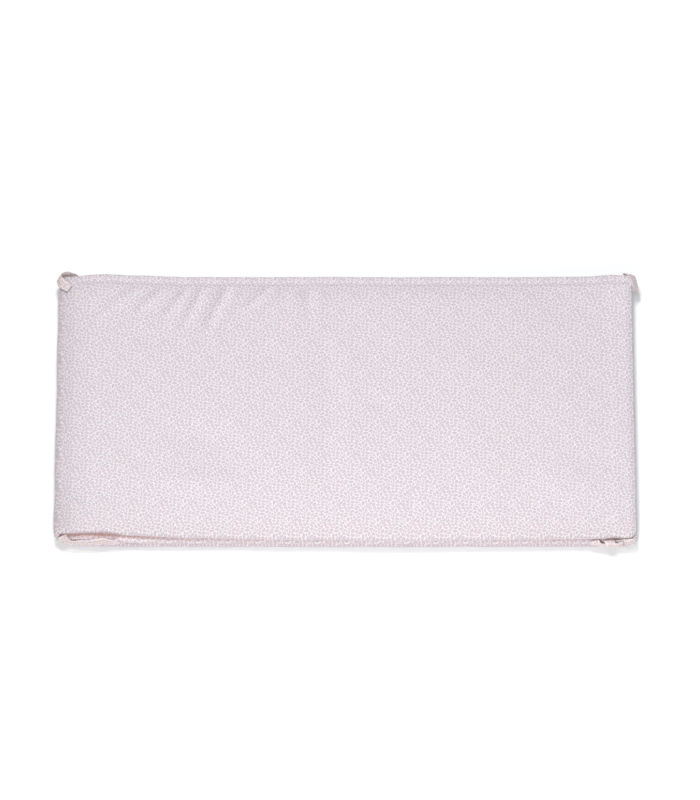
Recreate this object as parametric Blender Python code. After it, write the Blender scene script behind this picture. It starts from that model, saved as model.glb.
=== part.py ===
"""Crib bumper: a padded cotton strip folded back and forth in three, with narrow cotton ties.

The folded strip lies flat on a surface. X runs along it, Y from its plain seam to its
top-stitched edge, and Z is up. The origin is under the middle of its box, on the surface.
"""

import math

import bmesh
import bpy
from mathutils import Vector

MM = 0.001

# Driving dimensions, in metres
FOLDED_LENGTH = 0.597       # outer end to outer end of the folded strip
STRIP_HEIGHT = 0.2995       # plain seam to top-stitched edge
PAD_THICKNESS = 0.0088      # one padded layer, away from its seams
LAYER_GAP = 0.0010          # air between two layers
SEAM_HALF = 0.0010          # half the thickness of a sewn edge
STITCH_LINE = 0.0080        # from the top-stitched edge to its row of stitches
STITCH_SLOPE = 0.0200       # from the stitches to the full thickness
PLAIN_SLOPE = 0.0095        # from the plain seam to the full thickness
END_SLOPE = 0.0110          # from an end seam to the full thickness
CORNER_RADIUS = 0.0090      # of the four sewn corners
EDGE_DROOP = 0.35           # share of the lost half thickness by which an edge sinks
CROWN = 0.0010              # rise of the top layer's free face at its middle

# The two folds: the left one joins top and middle, the right one middle and bottom
LEFT_SQUEEZE = 0.0012       # loss of half thickness at the fold
LEFT_REACH = 0.0300         # how far from the fold the squeeze begins
RIGHT_SQUEEZE = 0.0006
RIGHT_REACH = 0.0140
RIGHT_FOLD_INSET = 0.0015   # from the top layer's end to the right fold
BOTTOM_END_INSET = 0.0120   # from the left fold to the bottom layer's end
FOLD_STEPS = 8

# Ties
TIE_WIDTH = 0.0100
TIE_THICKNESS = 0.0010
TIE_STEPS = 4               # stations between two points of a route
TIE_LINES = 3               # lines of points across the width

# Spacing of the solid's points
RUN_STEP = 0.0260
CLOSEST_SHARE = 0.4         # of a run step: an even place nearer than this to another is left out
CROSS_STEP = 0.0300
END_OFFSETS = (0.0, 0.0006, 0.0022, 0.0055, 0.0110, 0.0200)
FOLD_OFFSETS = (0.0, 0.0070, 0.0150, 0.0250)
STITCHED_OFFSETS = (0.0, 0.0030, 0.0068, 0.0080, 0.0095, 0.0125, 0.0180, 0.0290)
PLAIN_OFFSETS = (0.0, 0.0004, 0.0016, 0.0038, 0.0070, 0.0110, 0.0220)
CREASE_OFFSETS = (-0.0200, -0.0120, -0.0055, 0.0, 0.0055, 0.0120, 0.0200)

# How far each run strays from a straight strip, by x in millimetres: the plain edge is
# drawn in and lifted, the stitched edge is pushed out and lifted
SWAY_COLUMNS = ("x", "plain_in", "plain_lift", "stitched_out", "stitched_lift")
SWAY = {
    "top": (
        (-291, 6.6, 6.0, 1.8, 1.0),
        (-250, 6.0, 5.0, 2.8, 1.6),
        (-222, 4.6, 2.6, 1.8, 1.0),
        (-150, 2.2, 0.4, 0.0, 0.0),
        (-46, 0.6, 0.0, 0.2, 0.0),
        (57, -0.4, 0.0, 0.2, 0.0),
        (171, 0.4, 0.0, -0.2, 0.0),
        (243, 1.7, 0.3, 0.8, 0.2),
        (298, 2.8, 1.0, 3.4, 3.0),
    ),
    "middle": (
        (-291, 4.2, 0.6, 0.4, 0.0),
        (-240, 3.4, 0.0, 0.6, 0.0),
        (0, 2.2, 0.0, -0.8, 0.0),
        (230, 2.4, 0.0, -0.4, 0.0),
        (298, 2.8, 0.0, 0.6, 0.0),
    ),
    "bottom": (
        (-286, 2.8, 0.0, -1.2, 0.0),
        (-200, 1.4, 0.0, -0.2, 0.0),
        (0, 0.9, 0.0, 0.4, 0.0),
        (220, 1.2, 0.0, -0.6, 0.0),
        (298, 2.4, 0.0, 0.4, 0.0),
    ),
}
LIFT_REACH = 0.0550         # how far in from an edge its lift is felt

# Soft hollows in the top layer's free face: middle, half sizes and depth
HOLLOWS = (
    {"x": -0.150, "y": -0.046, "half_x": 0.062, "half_y": 0.036, "depth": 0.0011},
    {"x": -0.232, "y": -0.062, "half_x": 0.034, "half_y": 0.030, "depth": 0.0008},
    {"x": 0.034, "y": 0.008, "half_x": 0.036, "half_y": 0.026, "depth": 0.0006},
)
# The fold mark across the top layer
CREASE = {"x": -0.029, "half_width": 0.0110, "depth": 0.0008, "from_y": -0.110, "to_y": 0.128,
          "fade": 0.030}

# Routes of the ties: a point of the middle line in millimetres, then the width's direction
TIES = {
    "tie_back_left": (
        (-280.2, 153.9, 21.6, 0.00, 0.10, 1.0),
        (-284.2, 154.6, 22.8, 0.05, -0.20, 1.0),
        (-288.4, 153.4, 24.6, 0.05, -0.80, 0.75),
        (-292.4, 150.4, 25.4, 0.55, -0.55, 0.60),
        (-294.8, 145.6, 25.8, 0.85, 0.00, 0.45),
        (-293.4, 140.8, 26.4, 0.55, 0.65, 0.35),
        (-289.2, 138.8, 27.0, 0.05, 0.90, 0.30),
        (-285.2, 140.0, 27.8, -0.50, 0.75, 0.30),
    ),
    "tie_back_right": (
        (286.0, 153.8, 18.6, 0.0, 0.05, 1.0),
        (293.0, 154.4, 18.2, 0.0, 0.05, 1.0),
        (298.2, 152.6, 17.8, -0.15, -0.10, 1.0),
        (301.2, 148.8, 17.4, -0.40, -0.15, 0.9),
        (301.9, 144.8, 16.8, -0.45, 0.0, 0.9),
        (302.2, 142.0, 16.2, -0.30, 0.05, 0.95),
        (304.0, 140.2, 15.4, 0.0, 0.10, 1.0),
        (305.8, 141.4, 14.6, 0.05, 0.0, 1.0),
        (306.6, 144.6, 14.0, 0.05, 0.0, 1.0),
        (306.6, 148.6, 13.8, 0.05, 0.0, 1.0),
    ),
    "tie_front_left": (
        (-288.0, -146.3, 17.6, 0.55, 0.10, 0.85),
        (-283.5, -149.0, 15.2, 0.45, 0.05, 0.9),
        (-278.0, -150.4, 14.2, 0.25, 0.05, 1.0),
        (-271.0, -150.6, 14.9, 0.10, 0.05, 1.0),
        (-262.5, -150.3, 16.6, -0.05, 0.10, 1.0),
        (-256.0, -149.2, 18.2, -0.10, 0.15, 1.0),
        (-250.5, -147.8, 19.6, -0.10, 0.20, 1.0),
        (-246.4, -147.4, 20.0, 0.10, 0.20, 1.0),
        (-243.0, -148.6, 18.4, 0.30, 0.10, 0.9),
        (-239.4, -149.6, 18.0, 0.15, 0.05, 1.0),
        (-235.2, -149.4, 19.0, -0.10, 0.05, 1.0),
        (-231.4, -148.6, 20.2, -0.25, 0.10, 1.0),
    ),
    "tie_front_right_outer": (
        (255.5, -149.6, 18.0, 0.50, 0.15, 1.0),
        (261.5, -150.5, 17.0, 0.40, 0.10, 1.0),
        (269.5, -151.1, 15.4, 0.20, 0.05, 1.0),
        (278.5, -151.2, 14.4, 0.05, 0.05, 1.0),
        (286.5, -150.7, 14.4, -0.10, 0.05, 1.0),
        (292.6, -149.3, 14.8, -0.15, 0.05, 1.0),
        (297.0, -147.0, 15.0, -0.05, 0.0, 1.0),
        (299.1, -143.5, 15.0, 0.0, 0.0, 1.0),
    ),
    "tie_front_right_inner": (
        (263.6, -149.2, 16.0, 0.35, 0.10, 1.0),
        (268.8, -149.5, 15.2, 0.25, 0.05, 1.0),
        (274.0, -149.6, 14.8, 0.05, 0.05, 1.0),
        (278.5, -149.4, 15.2, -0.15, 0.10, 1.0),
        (282.5, -149.0, 15.6, -0.05, 0.10, 1.0),
        (286.0, -148.7, 15.6, 0.10, 0.10, 1.0),
    ),
}

# The strip is laid out round its own middle; this moves the whole to the middle of its box
SHIFT = Vector((-0.0040, -0.0025, 0.0))

HALF_LENGTH = FOLDED_LENGTH / 2
HALF_HEIGHT = STRIP_HEIGHT / 2
HALF_PAD = PAD_THICKNESS / 2
LEFT_HALF = HALF_PAD - LEFT_SQUEEZE
RIGHT_HALF = HALF_PAD - RIGHT_SQUEEZE
LEFT_FOLD_X = -HALF_LENGTH + 2 * LEFT_HALF + LAYER_GAP / 2
RIGHT_FOLD_X = HALF_LENGTH - RIGHT_FOLD_INSET - 2 * RIGHT_HALF - LAYER_GAP / 2
BOTTOM_END_X = -HALF_LENGTH + BOTTOM_END_INSET

PRINT_COLOUR = (0.80, 0.73, 0.79, 1.0)
TIE_COLOUR = (0.84, 0.77, 0.78, 1.0)
CLOTH_ROUGHNESS = 0.9


def clear_scene():
    for thing in list(bpy.data.objects):
        bpy.data.objects.remove(thing)


def cloth_material(name, colour):
    material = bpy.data.materials.new(name)
    material.use_nodes = True
    shader = material.node_tree.nodes["Principled BSDF"]
    shader.inputs["Base Color"].default_value = colour
    shader.inputs["Roughness"].default_value = CLOTH_ROUGHNESS
    shader.inputs["Metallic"].default_value = 0.0
    material.diffuse_color = colour
    return material


def ease(t):
    """0 below 0 and 1 above 1, with a smooth rise between."""
    t = min(1.0, max(0.0, t))
    return t * t * (3.0 - 2.0 * t)


def swell(distance, reach):
    """Rounded rise from a seam to the full thickness, as a share of it."""
    rest = 1.0 - min(1.0, max(0.0, distance / reach))
    return math.sqrt(1.0 - rest ** 2)


def read_table(rows, columns, x):
    """The named columns of a table at x, eased between its rows."""
    last = len(rows) - 1
    if x <= rows[0][0]:
        return dict(zip(columns, rows[0]))
    if x >= rows[last][0]:
        return dict(zip(columns, rows[last]))
    after = next(i for i, row in enumerate(rows) if row[0] >= x)
    low, high = rows[after - 1], rows[after]
    t = ease((x - low[0]) / (high[0] - low[0]))
    return {name: a + (b - a) * t for name, a, b in zip(columns, low, high)}


def run_half(layer, x):
    """Half the thickness of a run at x, squeezed beside the folds that it joins."""
    half = HALF_PAD
    if layer in ("top", "middle"):
        half -= LEFT_SQUEEZE * ease(1.0 - (x - LEFT_FOLD_X) / LEFT_REACH)
    if layer in ("middle", "bottom"):
        half -= RIGHT_SQUEEZE * ease(1.0 - (RIGHT_FOLD_X - x) / RIGHT_REACH)
    return half


def run_level(layer, x):
    """Height of a run's middle: each layer rests on the one below it."""
    level = run_half("bottom", x)
    if layer in ("middle", "top"):
        level += run_half("bottom", x) + LAYER_GAP + run_half("middle", x)
    if layer == "top":
        level += run_half("middle", x) + LAYER_GAP + run_half("top", x)
    return level


def run_places(start, stop, start_offsets, stop_offsets, extra=()):
    """Places along a run, closer together beside its ends and where more is asked for."""
    way = 1.0 if stop > start else -1.0
    near = {start + way * o for o in start_offsets} | {stop - way * o for o in stop_offsets}
    near |= set(extra)
    count = max(1, round(abs(stop - start) / RUN_STEP))
    even = [start + (stop - start) * i / count for i in range(1, count)]
    kept = [x for x in even if min(abs(x - n) for n in near) > RUN_STEP * CLOSEST_SHARE]
    return sorted(near | set(kept), reverse=way < 0)


def run_stations(layer, places, end_x=None):
    """Stations of one run: middle point, normal of the printed face, and what shapes it."""
    face = -1.0 if layer == "middle" else 1.0
    found = []
    for x in places:
        slope = (run_level(layer, x + MM) - run_level(layer, x - MM)) / (2 * MM)
        normal = Vector((-slope, 0.0, 1.0)).normalized() * face
        swelling = 1.0 if end_x is None else swell(abs(x - end_x), END_SLOPE)
        found.append({
            "layer": layer,
            "x": x,
            "middle": Vector((x, 0.0, run_level(layer, x))),
            "normal": normal,
            "half": run_half(layer, x),
            "swell": swelling,
            "end_x": end_x,
            "sway": read_table(SWAY[layer], SWAY_COLUMNS, x / MM),
        })
    return found


def fold_stations(above, below, x, outer_is_printed):
    """Stations round a fold, from the end of the run above to the start of the run below."""
    high, low = run_level(above, x), run_level(below, x)
    radius = (high - low) / 2
    side = -1.0 if outer_is_printed else 1.0
    before = read_table(SWAY[above], SWAY_COLUMNS, x / MM)
    after = read_table(SWAY[below], SWAY_COLUMNS, x / MM)
    found = []
    for step in range(1, FOLD_STEPS):
        turn = step / FOLD_STEPS
        angle = math.pi * (0.5 - turn)
        out = Vector((side * math.cos(angle), 0.0, math.sin(angle)))
        found.append({
            "layer": "fold",
            "x": x,
            "middle": Vector((x, 0.0, (high + low) / 2)) + out * radius,
            "normal": out if outer_is_printed else -out,
            "half": run_half(below, x),
            "swell": 1.0,
            "end_x": None,
            "sway": {name: before[name] + (after[name] - before[name]) * turn for name in before},
        })
    return found


def strip_stations():
    """Every station along the strip: top run, left fold, middle run, right fold, bottom run."""
    crease = [CREASE["x"] + offset for offset in CREASE_OFFSETS]
    top = run_places(HALF_LENGTH, LEFT_FOLD_X, END_OFFSETS, FOLD_OFFSETS, crease)
    middle = run_places(LEFT_FOLD_X, RIGHT_FOLD_X, FOLD_OFFSETS, FOLD_OFFSETS)
    bottom = run_places(RIGHT_FOLD_X, BOTTOM_END_X, FOLD_OFFSETS, END_OFFSETS)
    return [
        *run_stations("top", top, HALF_LENGTH),
        *fold_stations("top", "middle", LEFT_FOLD_X, True),
        *run_stations("middle", middle),
        *fold_stations("middle", "bottom", RIGHT_FOLD_X, False),
        *run_stations("bottom", bottom, BOTTOM_END_X),
    ]


def strip_crossings():
    """Distances across the strip, from its plain seam to its stitched edge."""
    plain = [-HALF_HEIGHT + offset for offset in PLAIN_OFFSETS]
    stitched = [HALF_HEIGHT - offset for offset in reversed(STITCHED_OFFSETS)]
    first, last = plain[-1], stitched[0]
    count = round((last - first) / CROSS_STEP)
    even = [first + (last - first) * i / count for i in range(1, count)]
    return [*plain, *even, *stitched]


def cross_swell(v):
    """How full the strip is across its height, as a share of its full thickness."""
    plain = swell(v + HALF_HEIGHT, PLAIN_SLOPE)
    stitched = swell(HALF_HEIGHT - v - STITCH_LINE, STITCH_SLOPE)
    return min(plain, stitched)


def hollow_depth(x, y):
    """Depth of the soft hollows and of the fold mark in the top layer's free face."""
    depth = 0.0
    for hollow in HOLLOWS:
        away = math.hypot((x - hollow["x"]) / hollow["half_x"], (y - hollow["y"]) / hollow["half_y"])
        depth += hollow["depth"] * ease(1.0 - away)
    fade = CREASE["fade"]
    inside = ease((y - CREASE["from_y"]) / fade) * ease((CREASE["to_y"] - y) / fade)
    across = ease(1.0 - abs(x - CREASE["x"]) / CREASE["half_width"])
    return depth + CREASE["depth"] * inside * across


def round_corner(x, v, end_x):
    """A place near a sewn corner, moved so that the corner is round."""
    if end_x is None:
        return x, v
    along = max(0.0, 1.0 - abs(end_x - x) / CORNER_RADIUS)
    across = max(0.0, 1.0 - (HALF_HEIGHT - abs(v)) / CORNER_RADIUS)
    pull_x = along * (1.0 - math.sqrt(1.0 - across ** 2 / 2)) * CORNER_RADIUS
    pull_v = across * (1.0 - math.sqrt(1.0 - along ** 2 / 2)) * CORNER_RADIUS
    return x - math.copysign(pull_x, end_x), v - math.copysign(pull_v, v)


def strip_point(station, v, printed):
    """A point of the strip's printed face or of its other face."""
    full = station["half"]
    fullness = cross_swell(v) * station["swell"]
    half = SEAM_HALF + (full - SEAM_HALF) * fullness
    point = station["middle"] + station["normal"] * (half if printed else -half)
    point.z -= EDGE_DROOP * (full - half) * abs(station["normal"].z)
    sway = station["sway"]
    share = 0.5 + v / STRIP_HEIGHT
    x, y = round_corner(station["x"], v, station["end_x"])
    point.x += x - station["x"]
    point.y = y + (sway["plain_in"] * (1.0 - share) + sway["stitched_out"] * share) * MM
    plain_lift = ease(1.0 - (v + HALF_HEIGHT) / LIFT_REACH)
    stitched_lift = ease(1.0 - (HALF_HEIGHT - v) / LIFT_REACH)
    point.z += (sway["plain_lift"] * plain_lift + sway["stitched_lift"] * stitched_lift) * MM
    if printed and station["layer"] == "top":
        rise = (1.0 - (x / HALF_LENGTH) ** 2) * (1.0 - (v / HALF_HEIGHT) ** 2)
        point.z += CROWN * rise - hollow_depth(x, v) * fullness
    return point


def closed_sheet(name, rows, columns, place, material, collection):
    """A grid extruded to a closed slab, whose points place(row, column, front) then sets."""
    mesh = bpy.data.meshes.new(name)
    bm = bmesh.new()
    bmesh.ops.create_grid(bm, x_segments=rows - 1, y_segments=columns - 1, size=1.0)
    places = {}
    for vertex in bm.verts:
        row = round((vertex.co.x + 1.0) / 2.0 * (rows - 1))
        column = round((vertex.co.y + 1.0) / 2.0 * (columns - 1))
        places[vertex] = (row, column)
    backs = list(bm.verts)
    spots = {tuple(vertex.co): places[vertex] for vertex in backs}
    grown = bmesh.ops.extrude_face_region(bm, geom=bm.faces[:])
    fronts = [item for item in grown["geom"] if isinstance(item, bmesh.types.BMVert)]
    bmesh.ops.translate(bm, verts=fronts, vec=(0.0, 0.0, 1.0))
    bmesh.ops.recalc_face_normals(bm, faces=bm.faces[:])
    for vertex in fronts:
        row, column = spots[(vertex.co.x, vertex.co.y, 0.0)]
        vertex.co = place(row, column, True) + SHIFT
    for vertex in backs:
        row, column = places[vertex]
        vertex.co = place(row, column, False) + SHIFT
    if bm.calc_volume(signed=True) < 0.0:
        bmesh.ops.reverse_faces(bm, faces=bm.faces[:])
    bm.to_mesh(mesh)
    bm.free()
    mesh.materials.append(material)
    mesh.shade_smooth()
    made = bpy.data.objects.new(name, mesh)
    collection.objects.link(made)
    return made


def make_strip(material, collection):
    stations = strip_stations()
    crossings = strip_crossings()

    def place(row, column, front):
        return strip_point(stations[row], crossings[column], front)

    return closed_sheet("padded_strip", len(stations), len(crossings), place, material, collection)


def route_points(rows):
    """A smooth line through a tie's route: (point, direction of the width) at each station."""
    last = len(rows) - 1
    found = []
    for i in range(last):
        before, start, stop = rows[max(0, i - 1)], rows[i], rows[i + 1]
        after = rows[min(last, i + 2)]
        for step in range(TIE_STEPS):
            t = step / TIE_STEPS
            found.append([spline(a, b, c, d, t) for a, b, c, d in zip(before, start, stop, after)])
    found.append(rows[last])
    return [(Vector(row[:3]) * MM, Vector(row[3:])) for row in found]


def spline(a, b, c, d, t):
    """Catmull-Rom value between b and c."""
    return 0.5 * (2 * b + (c - a) * t + (2 * a - 5 * b + 4 * c - d) * t ** 2
                  + (3 * b - a - 3 * c + d) * t ** 3)


def make_tie(name, rows, material, collection):
    """A flat strap along its route, its width across it and its thickness between its faces."""
    points = route_points(rows)
    frames = []
    for i, (point, across) in enumerate(points):
        along = points[min(len(points) - 1, i + 1)][0] - points[max(0, i - 1)][0]
        along.normalize()
        width = (across - along * across.dot(along)).normalized()
        frames.append((point, width, along.cross(width)))

    def place(row, column, front):
        point, width, out = frames[row]
        side = TIE_THICKNESS / 2 if front else -TIE_THICKNESS / 2
        return point + width * TIE_WIDTH * (column / (TIE_LINES - 1) - 0.5) + out * side

    return closed_sheet(name, len(points), TIE_LINES, place, material, collection)


def main():
    clear_scene()
    collection = bpy.data.collections.new("crib_bumper")
    bpy.context.scene.collection.children.link(collection)
    make_strip(cloth_material("printed_cotton", PRINT_COLOUR), collection)
    tie_cotton = cloth_material("tie_cotton", TIE_COLOUR)
    for name, rows in TIES.items():
        make_tie(name, rows, tie_cotton, collection)


main()
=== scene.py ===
import math

import bpy
import numpy as np
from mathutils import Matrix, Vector


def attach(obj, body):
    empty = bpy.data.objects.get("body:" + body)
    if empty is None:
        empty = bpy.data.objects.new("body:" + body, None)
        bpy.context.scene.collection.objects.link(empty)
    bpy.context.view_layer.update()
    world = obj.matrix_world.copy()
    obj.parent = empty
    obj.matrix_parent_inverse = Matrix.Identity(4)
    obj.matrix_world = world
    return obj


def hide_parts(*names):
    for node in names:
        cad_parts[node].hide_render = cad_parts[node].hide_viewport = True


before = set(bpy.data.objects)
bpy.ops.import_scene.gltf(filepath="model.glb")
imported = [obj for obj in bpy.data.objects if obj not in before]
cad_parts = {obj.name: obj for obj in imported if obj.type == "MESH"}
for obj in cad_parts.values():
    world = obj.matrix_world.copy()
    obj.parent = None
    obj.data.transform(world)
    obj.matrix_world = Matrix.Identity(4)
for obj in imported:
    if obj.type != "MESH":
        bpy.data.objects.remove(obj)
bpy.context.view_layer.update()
mm = 0.001


# small helpers

def deselectAll():
    if bpy.context.mode != "OBJECT":
        bpy.ops.object.mode_set(mode="OBJECT")
    bpy.ops.object.select_all(action="DESELECT")


def editAll(piece, tool, **settings):  # one tool on the whole mesh in edit mode
    deselectAll()
    piece.select_set(True)
    bpy.context.view_layer.objects.active = piece
    bpy.ops.object.mode_set(mode="EDIT")
    bpy.ops.mesh.select_all(action="SELECT")
    tool(**settings)
    bpy.ops.object.mode_set(mode="OBJECT")


def ease(t):
    t = np.clip(t, 0.0, 1.0)
    return t * t * (3.0 - 2.0 * t)


def swell(distance, reach):  # rounded rise from a seam to the full thickness
    rest = 1.0 - np.clip(distance / reach, 0.0, 1.0)
    return np.sqrt(1.0 - rest ** 2)


def readColumn(rows, column, x):  # one column of a table at x, eased between its rows
    places = np.array([row[0] for row in rows], float)
    values = np.array([row[column] for row in rows], float)
    x = np.clip(x, places[0], places[-1])
    after = np.clip(np.searchsorted(places, x), 1, len(places) - 1)
    t = ease((x - places[after - 1]) / (places[after] - places[after - 1]))
    return values[after - 1] + (values[after] - values[after - 1]) * t


def softNoise(x, y, cell, seed):  # smooth hills between -1 and 1, about a cell apart
    side = 256
    grid = np.random.default_rng(seed).uniform(-1.0, 1.0, (side, side))
    gx = np.asarray(x, float) / cell + side / 2
    gy = np.asarray(y, float) / cell + side / 2
    ix, iy = np.floor(gx).astype(int), np.floor(gy).astype(int)
    tx, ty = ease(gx - ix), ease(gy - iy)
    near, far = ix % side, (ix + 1) % side
    low, high = iy % side, (iy + 1) % side
    below = grid[near, low] * (1 - tx) + grid[far, low] * tx
    above = grid[near, high] * (1 - tx) + grid[far, high] * tx
    return below * (1 - ty) + above * ty


def hills(x, y, layers):  # several soft noises together: size, cell and seed of each
    return sum(size * softNoise(x, y, cell, seed) for size, cell, seed in layers)


# a grid extruded twice: printed face, a ring round the rim, other face
def addSlab(name, rows, columns):
    deselectAll()
    cuts = {"x_subdivisions": rows - 1, "y_subdivisions": columns - 1}
    bpy.ops.mesh.primitive_grid_add(**cuts, size=2.0, calc_uvs=False)
    piece = bpy.context.object
    piece.name = name
    bpy.ops.object.mode_set(mode="EDIT")
    bpy.ops.mesh.select_all(action="SELECT")
    for step in range(2):
        bpy.ops.mesh.extrude_region_move(TRANSFORM_OT_translate={"value": (0.0, 0.0, 1.0)})
    bpy.ops.object.mode_set(mode="OBJECT")
    flat = np.zeros(len(piece.data.vertices) * 3)
    piece.data.vertices.foreach_get("co", flat)
    flat = flat.reshape(-1, 3)
    row = np.rint((flat[:, 0] + 1.0) / 2.0 * (rows - 1)).astype(int)
    column = np.rint((flat[:, 1] + 1.0) / 2.0 * (columns - 1)).astype(int)
    side = 1.0 - flat[:, 2]
    return piece, row, column, side


def setPlaces(piece, places):
    piece.data.vertices.foreach_set("co", np.ascontiguousarray(places, float).ravel())
    piece.data.update()
    editAll(piece, bpy.ops.mesh.normals_make_consistent, inside=False)


def setClothMap(piece, across, along):  # the cloth's own flat place in metres, as a UV map
    layer = piece.data.uv_layers.new(name="clothMap")
    loops = np.zeros(len(piece.data.loops), int)
    piece.data.loops.foreach_get("vertex_index", loops)
    pairs = np.column_stack([along[loops], across[loops]])
    layer.data.foreach_set("uv", np.ascontiguousarray(pairs, float).ravel())


def setAmount(piece, name, values):
    layer = piece.data.attributes.new(name, "FLOAT", "POINT")
    layer.data.foreach_set("value", np.ascontiguousarray(values, np.float32))


def smooth(piece):
    piece.data.polygons.foreach_set("use_smooth", [True] * len(piece.data.polygons))
    piece.data.update()


# camera

cameraPlan = {
    "elevation": 64.5,                      # degrees above the floor
    "distance": 7.0,
    "aim": (0.00117, 0.0087, 0.01884),      # the middle of the view
    "lens": 304.6,
    "sensor": 36.0,
}


def addCamera(plan):
    angle = math.radians(plan["elevation"])
    back = Vector((0.0, -math.cos(angle), math.sin(angle)))
    place = Vector(plan["aim"]) + back * plan["distance"]
    bpy.ops.object.camera_add(location=place, rotation=(math.pi / 2 - angle, 0.0, 0.0))
    camera = bpy.context.object
    camera.name = "camera"
    camera.data.sensor_fit = "VERTICAL"
    camera.data.sensor_height = plan["sensor"]
    camera.data.lens = plan["lens"]
    bpy.context.scene.camera = camera
    print("camera placed")


addCamera(cameraPlan)


# the padded strip, folded in three

# as in the frame: sizes in metres, tables in millimetres
strip = {
    "foldedLength": 0.597,
    "height": 0.2995,
    "padThickness": 0.0088,
    "layerGap": 0.0010,
    "seamHalf": 0.0010,
    "stitchLine": 0.0093,
    "stitchSlope": 0.0240,
    "rimHalf": 0.0006,
    "rollHalf": 0.0022,
    "rollReach": 0.0050,
    "pinch": 0.00035,                       # drawn in by the stitches
    "pinchWidth": 0.0012,
    "plainRim": 0.0004,                     # thinner still at the very edge
    "plainRimWidth": 0.0006,
    "thinnest": 0.0003,
    "plainSlope": 0.0095,
    "plainPower": 0.7,
    "endSlope": 0.0135,
    "cornerRadius": 0.0090,
    "edgeDroop": 0.35,
    "crown": 0.0010,
    "leftSqueeze": 0.0012,
    "leftReach": 0.0300,
    "rightSqueeze": 0.0006,
    "rightReach": 0.0140,
    "rightFoldInset": 0.0015,
    "bottomEndInset": 0.0120,
    "liftReach": 0.0550,
    "edgeReach": 0.02,                      # how far in from an edge its waves are felt
    "tuck": 0.0004,                         # the seam between the covers lies a little inside the rim
    "coverStep": 0.137,                     # from one cover's print to the other's
    "shift": (-0.0040, -0.0025, 0.0),       # to the middle of the frame's box
    "foldSteps": 20,
    "topStep": 0.0028,
    "lowerStep": 0.0055,
    "crossStep": 0.0033,
}
# places of the mesh's lines, in from an end, a plain edge, a stitched edge and from the stitches
strip["endOffsets"] = (0.0, 0.0004, 0.0012, 0.0025, 0.0042, 0.0064, 0.0090)
strip["plainOffsets"] = (0.0, 0.0003, 0.0010, 0.0022, 0.0038, 0.0058, 0.0082, 0.0110)
strip["rimOffsets"] = (0.0, 0.0004, 0.0014, 0.0030, 0.0050, 0.0067)
strip["stitchOffsets"] = (-0.0006, 0.0, 0.0006, 0.0016, 0.0032, 0.0055, 0.0085, 0.0115)
# how far each run strays from a straight strip: x, plainIn, plainLift, stitchedOut, stitchedLift
strip["sway"] = {
    "top": (
        (-291, 7.4, 3.6, 2.6, 1.0),
        (-279, 6.8, 4.8, 3.0, 1.2),
        (-250, 6.8, 3.3, 3.7, 1.6),
        (-222, 5.2, 1.2, 2.8, 1.0),
        (-150, 2.4, 0.1, 1.1, 0.0),
        (-46, 0.6, 0.0, 1.3, 0.0),
        (57, -0.4, 0.0, 1.3, 0.0),
        (171, 0.4, 0.0, 0.9, 0.0),
        (243, 1.7, 0.3, 1.8, 0.2),
        (298, 2.8, 1.0, 3.8, 3.0),
    ),
    "middle": (
        (-291, 3.8, 2.2, 0.4, 0.0),
        (-280, 2.6, 2.4, 0.4, 0.0),
        (-268, 1.3, 3.6, 0.4, 0.0),
        (-250, 1.0, 3.2, 0.6, 0.0),
        (-236, 1.0, 2.6, 0.6, 0.0),
        (-205, 0.9, 0.8, 0.4, 0.0),
        (0, 0.5, 0.0, -0.8, 0.0),
        (230, 0.6, 0.0, -0.4, 0.0),
        (262, 0.9, 0.1, -0.2, 0.0),
        (298, 1.2, 0.6, 0.6, 0.0),
    ),
    "bottom": (
        (-286, 2.8, 0.0, -1.2, 0.0),
        (-200, 2.0, 0.0, -0.2, 0.0),
        (0, 1.7, 0.0, 0.4, 0.0),
        (220, 1.9, 0.0, -0.6, 0.0),
        (298, 2.4, 0.0, 0.4, 0.0),
    ),
}
# soft hollows and swellings of the top face: x, y, half sizes and depth, millimetres
strip["hollows"] = (
    (-148, -38, 48, 26, 2.2),
    (-150, -88, 66, 26, -1.9),
    (-211, -66, 20, 13, 0.9),
    (-236, -84, 44, 34, -1.0),
    (-198, 74, 34, 17, 1.0),
    (-75, 54, 38, 24, 1.0),
    (33, 4, 22, 11, 1.0),
    (54, 30, 15, 10, 0.6),
    (169, -114, 12, 8, 0.7),
    (235, 118, 80, 40, 1.6),
    (236, -88, 60, 32, -1.1),
    (230, 50, 28, 18, -0.7),
    (110, 20, 60, 40, 0.5),
)
# creases drawn in from the stitched edge and elsewhere: from x, y, to x, y, width, depth
strip["creases"] = (
    (-122, 134, -147, 80, 10.0, 1.5),
    (-80, 134, -107, 108, 9.0, 1.2),
    (-39, 131, -37, 92, 12.0, 0.7),
    (-149, 131, -170, 86, 8.0, 1.1),
    (-166, 131, -190, 95, 7.5, 1.0),
    (-193, 129, -218, 102, 8.0, 1.0),
    (-220, 130, -244, 107, 8.0, 0.8),
    (-240, 118, -266, 88, 10.0, 0.6),
    (69, -100, 66, -132, 9.0, 0.3),
    (-276, -104, -258, -122, 7.0, 0.6),
    (262, -132, 280, -120, 6.0, 0.4),
)
strip["creaseShape"] = {
    "wander": (1.2, 9.0, 5),                # size, cell and seed
    "trough": 0.5,                          # widths as shares of the crease's own
    "ridge": 0.45,
    "ridgeWidth": 0.6,
}
strip["foldMark"] = {
    "x": -19,
    "wander": (5.0, 60.0, 24),
    "halfWidth": 16,
    "narrow": 1.3,
    "depth": 0.9,
    "ridge": 0.4,
    "ridgeAway": 1.4,
    "fromY": -135,
    "toY": 120,
    "fade": 90,
}
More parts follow.
